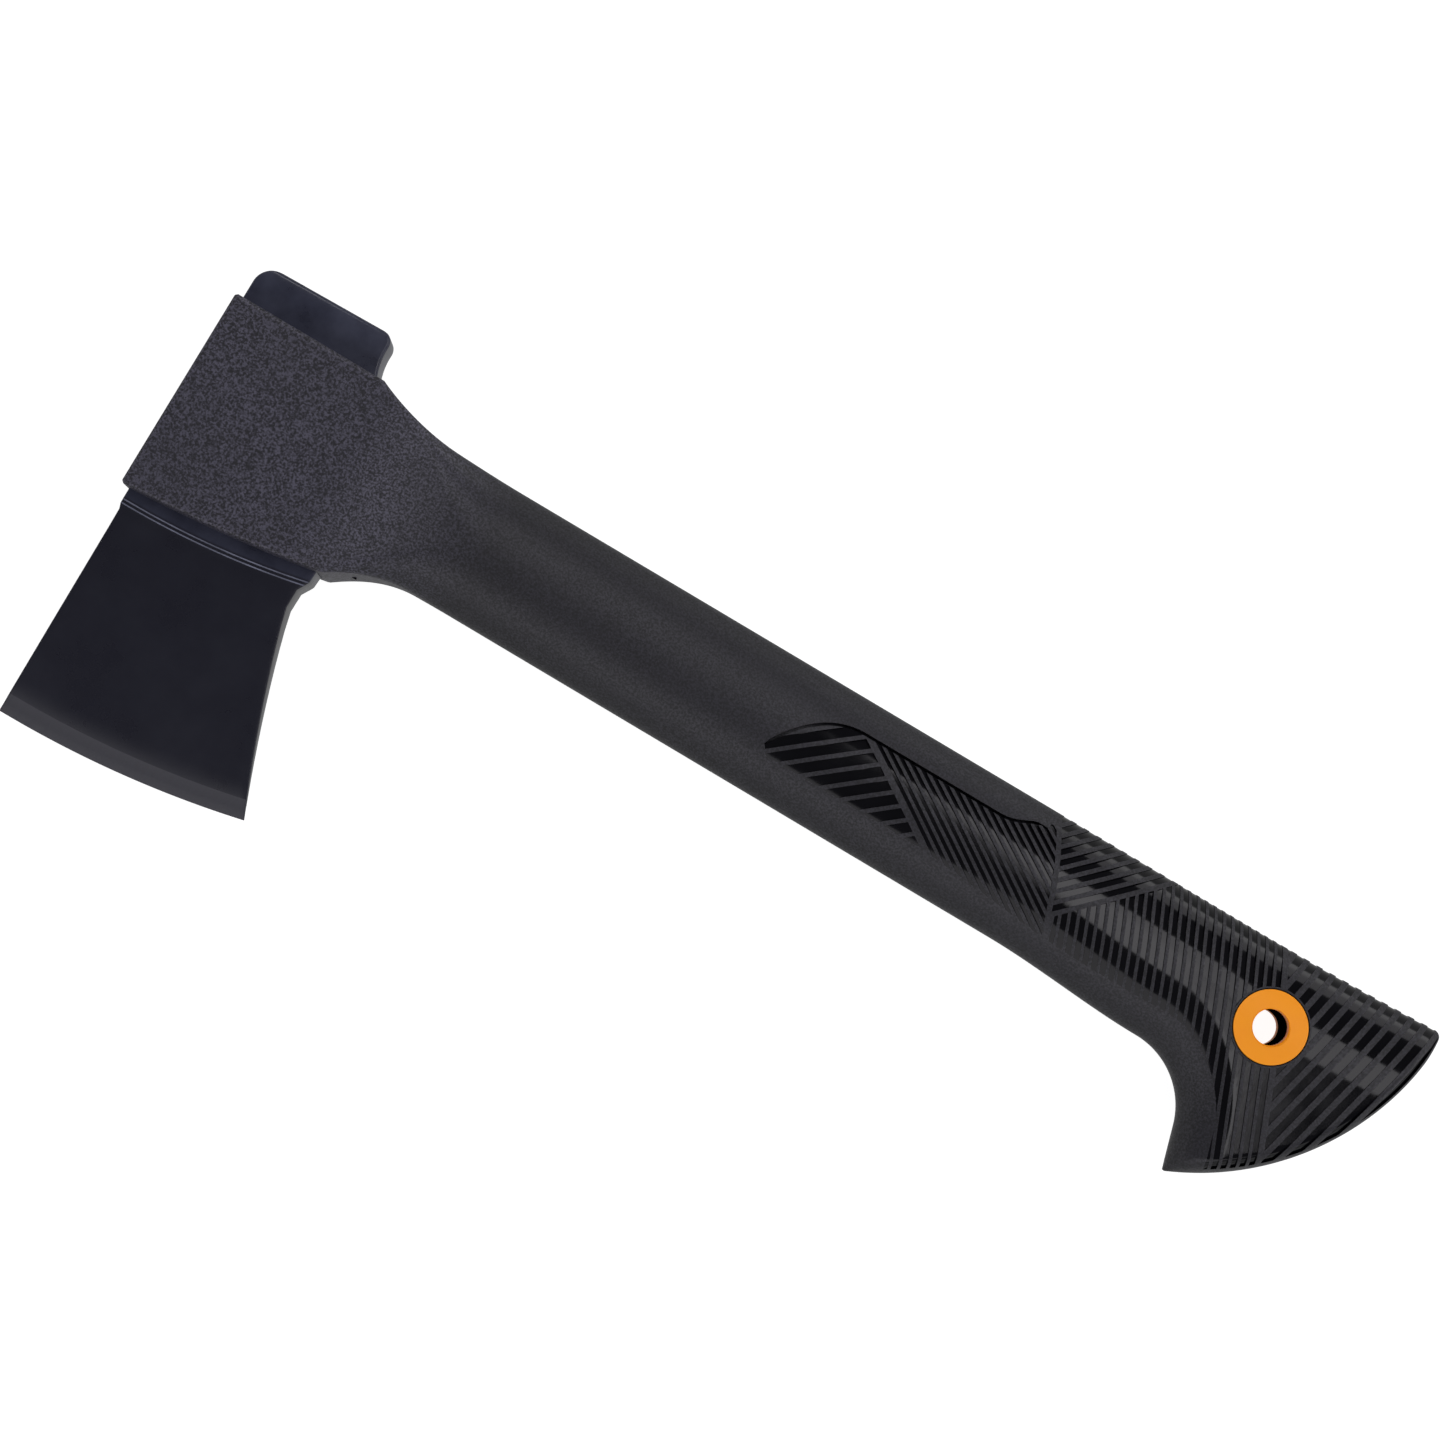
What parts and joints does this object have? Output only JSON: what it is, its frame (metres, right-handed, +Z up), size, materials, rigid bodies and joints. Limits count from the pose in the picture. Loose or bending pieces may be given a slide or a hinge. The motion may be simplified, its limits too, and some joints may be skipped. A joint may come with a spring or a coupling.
{
  "type": "hatchet",
  "caption": "One-hand hatchet: forged steel head with blade and square poll held in the collar of a hollow moulded handle with a ribbed grip, hooked butt and orange-ringed hang hole.",
  "frame": {"origin": "centre of the bounding box's underside: the tool lies on its side, and the origin is on the surface under it", "axes": "+X runs along the handle from the head to the butt, +Y points from the cutting edge to the poll, +Z up, across the tool's thickness"},
  "size_m": [0.345, 0.1272, 0.03],
  "materials": {
    "coated_steel": "dark low-friction coating, satin, with a bare ground bevel",
    "glass_fibre_nylon": "matte spark-eroded texture",
    "grip_nylon": "matte ribs over glossy floors",
    "orange_plastic": "satin",
    "black_plastic": "satin"
  },
  "bodies": {
    "root": {"axe_head": "coated_steel", "handle_shell": "glass_fibre_nylon", "grip_sleeve": "grip_nylon", "hang_ring_front": "orange_plastic", "hang_ring_back": "orange_plastic", "hang_hole_bush": "black_plastic", "vent_plug": "black_plastic"}
  },
  "joints": []
}
